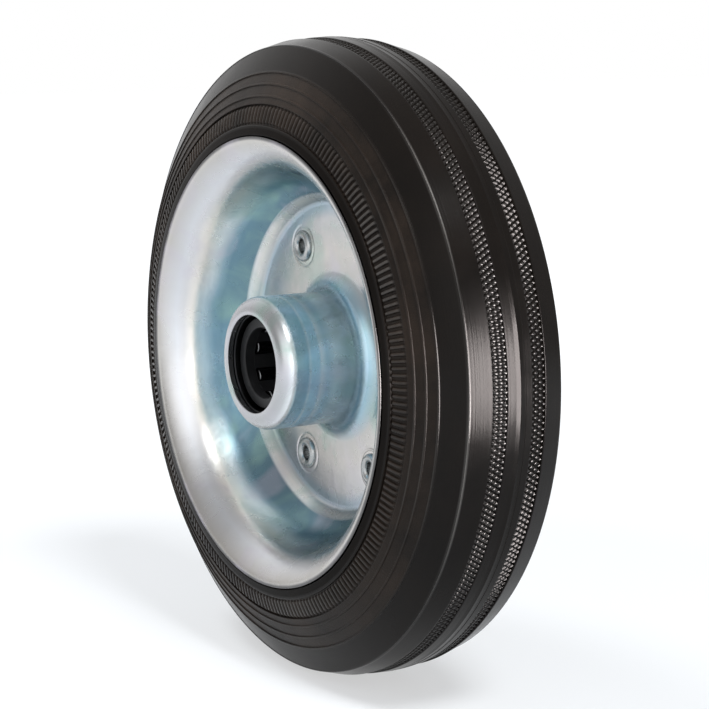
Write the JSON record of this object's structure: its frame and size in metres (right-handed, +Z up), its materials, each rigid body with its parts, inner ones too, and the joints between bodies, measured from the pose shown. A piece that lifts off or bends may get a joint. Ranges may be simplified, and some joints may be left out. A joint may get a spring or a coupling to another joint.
{
  "type": "wheel",
  "caption": "Solid rubber tyre on riveted pressed steel discs, with a caged roller bearing in the hub for a plain axle.",
  "frame": {"origin": "centre of the wheel, on its axis and midway between the hub ends", "axes": "+Y along the wheel's axis, away from the face with the recessed web and its step; +Z up, as it stands on its tread"},
  "size_m": [0.1998, 0.06, 0.1998],
  "materials": {
    "rubber": "moulded, half gloss",
    "zinc_plate": "pressed sheet, blue-passivated zinc",
    "eyelet_zinc": "zinc plated, curled over",
    "race_steel": "drawn tube, oiled",
    "cage_nylon": "moulded, greasy",
    "roller_steel": "ground"
  },
  "bodies": {
    "wheel": {"tyre": "rubber", "front_disc": "zinc_plate", "rear_disc": "zinc_plate", "bearing_sleeve": "race_steel", "rivet_1": "eyelet_zinc", "rivet_2": "eyelet_zinc", "rivet_3": "eyelet_zinc", "rivet_4": "eyelet_zinc", "rivet_5": "eyelet_zinc", "rivet_6": "eyelet_zinc"},
    "cage": {"roller_cage": "cage_nylon"},
    "roller_body_1": {"roller_1": "roller_steel"},
    "roller_body_2": {"roller_2": "roller_steel"},
    "roller_body_3": {"roller_3": "roller_steel"},
    "roller_body_4": {"roller_4": "roller_steel"},
    "roller_body_5": {"roller_5": "roller_steel"},
    "roller_body_6": {"roller_6": "roller_steel"},
    "roller_body_7": {"roller_7": "roller_steel"},
    "roller_body_8": {"roller_8": "roller_steel"}
  },
  "joints": [
    {"name": "cage_spin", "type": "hinge", "parent": "wheel", "child": "cage", "pos_m": [0, 0, 0], "axis": [0, 1, 0], "continuous": true},
    {"name": "roller_1_spin", "type": "hinge", "parent": "cage", "child": "roller_body_1", "pos_m": [0.0108, 0, 0.00599], "axis": [0, 1, 0], "continuous": true},
    {"name": "roller_2_spin", "type": "hinge", "parent": "cage", "child": "roller_body_2", "pos_m": [0.0034, 0, 0.01187], "axis": [0, 1, 0], "continuous": true},
    {"name": "roller_3_spin", "type": "hinge", "parent": "cage", "child": "roller_body_3", "pos_m": [-0.00599, 0, 0.0108], "axis": [0, 1, 0], "continuous": true},
    {"name": "roller_4_spin", "type": "hinge", "parent": "cage", "child": "roller_body_4", "pos_m": [-0.01187, 0, 0.0034], "axis": [0, 1, 0], "continuous": true},
    {"name": "roller_5_spin", "type": "hinge", "parent": "cage", "child": "roller_body_5", "pos_m": [-0.0108, 0, -0.00599], "axis": [0, 1, 0], "continuous": true},
    {"name": "roller_6_spin", "type": "hinge", "parent": "cage", "child": "roller_body_6", "pos_m": [-0.0034, 0, -0.01187], "axis": [0, 1, 0], "continuous": true},
    {"name": "roller_7_spin", "type": "hinge", "parent": "cage", "child": "roller_body_7", "pos_m": [0.00599, 0, -0.0108], "axis": [0, 1, 0], "continuous": true},
    {"name": "roller_8_spin", "type": "hinge", "parent": "cage", "child": "roller_body_8", "pos_m": [0.01187, 0, -0.0034], "axis": [0, 1, 0], "continuous": true}
  ],
  "couplings": [
    {"joint": "roller_1_spin", "follows": "cage_spin", "ratio": -6.2553},
    {"joint": "roller_2_spin", "follows": "cage_spin", "ratio": -6.2553},
    {"joint": "roller_3_spin", "follows": "cage_spin", "ratio": -6.2553},
    {"joint": "roller_4_spin", "follows": "cage_spin", "ratio": -6.2553},
    {"joint": "roller_5_spin", "follows": "cage_spin", "ratio": -6.2553},
    {"joint": "roller_6_spin", "follows": "cage_spin", "ratio": -6.2553},
    {"joint": "roller_7_spin", "follows": "cage_spin", "ratio": -6.2553},
    {"joint": "roller_8_spin", "follows": "cage_spin", "ratio": -6.2553}
  ]
}
